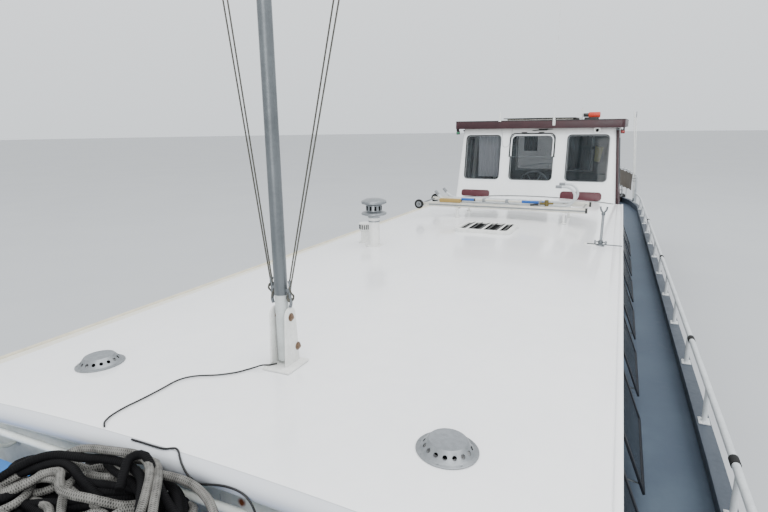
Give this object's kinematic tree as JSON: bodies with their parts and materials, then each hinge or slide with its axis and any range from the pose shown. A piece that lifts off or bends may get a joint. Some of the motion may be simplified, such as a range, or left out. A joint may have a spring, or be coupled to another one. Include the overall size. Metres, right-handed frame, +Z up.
{
  "type": "river barge",
  "caption": "Flat-bottomed steel river barge with a long glossy white coachroof, an aft wheelhouse, a lowering mast and a stowed gangway.",
  "frame": {"origin": "on the flat bottom, amidships, on the centreline", "axes": "+X forward, +Y port, +Z up"},
  "size_m": [18.4, 4.454, 8.67],
  "materials": {
    "hull_paint": "satin",
    "deck_paint": "matte",
    "cap_paint": "matte",
    "rubber_black": "matte",
    "rail_paint": "satin",
    "cabin_paint": "satin",
    "window_frame": "satin",
    "roof_gloss": "gloss",
    "white_fittings": "satin",
    "glass": "gloss",
    "maroon_paint": "satin",
    "mahogany": "satin",
    "vinyl": "matte",
    "engine_paint": "satin",
    "stainless": "brushed",
    "alloy": "satin",
    "bronze": "satin",
    "black_paint": "satin",
    "locker_paint": "satin",
    "cable_sheath": "matte",
    "rope_black": "matte",
    "rope_grey": "matte"
  },
  "bodies": {
    "barge": {"hull_bow": "hull_paint", "hull_middle": "hull_paint", "hull_stern": "hull_paint", "deck": "deck_paint", "rub_strake": "rubber_black", "bulwark": "cap_paint", "rail_port": "rail_paint", "rail_starboard": "rail_paint", "stern_rail": "rail_paint", "cabin_side_port": "cabin_paint", "cabin_side_starboard": "cabin_paint", "cabin_windows_port": "window_frame", "cabin_windows_starboard": "window_frame", "cabin_front": "cabin_paint", "cabin_bulkhead": "cabin_paint", "coachroof": "roof_gloss", "wheelhouse_front": "roof_gloss", "front_pane_starboard": "glass", "front_pane_middle": "glass", "front_pane_port": "glass", "wheelhouse_side_port": "roof_gloss", "wheelhouse_side_starboard": "roof_gloss", "side_pane_port": "glass", "side_pane_starboard": "glass", "wheelhouse_back": "roof_gloss", "back_pane": "glass", "wheelhouse_floor": "vinyl", "wheelhouse_roof": "roof_gloss", "roof_fascia": "maroon_paint", "console": "mahogany", "helm_seat": "vinyl", "engine": "engine_paint", "tabernacle": "white_fittings", "vent_port": "stainless", "vent_starboard": "stainless", "flue": "white_fittings", "short_vent": "white_fittings", "roof_hatch": "white_fittings", "gangway_rack": "rail_paint", "gangway": "alloy", "ladder": "rail_paint", "fork_post": "stainless", "bitts_aft": "black_paint", "bitts_fore": "black_paint", "rope_locker": "locker_paint", "windlass_frame": "hull_paint", "mast_cable": "cable_sheath", "front_wire": "cable_sheath", "rope_black": "rope_black", "rope_grey": "rope_grey"},
    "propeller": {"propeller": "bronze"},
    "rudder": {"rudder": "hull_paint"},
    "steering_wheel": {"steering_wheel": "stainless"},
    "door_port": {"door_port": "maroon_paint", "door_pane_port": "glass"},
    "door_starboard": {"door_starboard": "maroon_paint", "door_pane_starboard": "glass"},
    "mast": {"mast": "alloy"},
    "gangway_wheels": {"gangway_wheels": "rubber_black"},
    "windlass_drum": {"windlass_drum": "hull_paint"}
  },
  "joints": [
    {"name": "propeller_turn", "type": "hinge", "parent": "barge", "child": "propeller", "pos_m": [-7.43, 0, 0.47], "axis": [1, 0, 0], "continuous": true},
    {"name": "rudder_turn", "type": "hinge", "parent": "barge", "child": "rudder", "pos_m": [-8.05, 0, 0.5], "axis": [0, 0, 1], "range_deg": [-35, 35]},
    {"name": "steering_wheel_turn", "type": "hinge", "parent": "barge", "child": "steering_wheel", "pos_m": [-3.2, -0.06, 2.705], "axis": [1, 0, 0], "range_deg": [-420, 420]},
    {"name": "door_port_slide", "type": "slide", "parent": "barge", "child": "door_port", "axis": [-1, 0, 0], "range_m": [0, 0.64]},
    {"name": "door_starboard_slide", "type": "slide", "parent": "barge", "child": "door_starboard", "axis": [-1, 0, 0], "range_m": [0, 0.64]},
    {"name": "mast_lower", "type": "hinge", "parent": "barge", "child": "mast", "pos_m": [4.63, 0.034, 2.846], "axis": [0, -1, 0], "range_deg": [0, 82]},
    {"name": "gangway_wheels_turn", "type": "hinge", "parent": "barge", "child": "gangway_wheels", "pos_m": [-0.5, -1.075, 2.73], "axis": [1, 0, 0], "continuous": true},
    {"name": "windlass_turn", "type": "hinge", "parent": "barge", "child": "windlass_drum", "pos_m": [7.69696, 0, 2.27926], "axis": [0, 1, 0], "continuous": true}
  ]
}
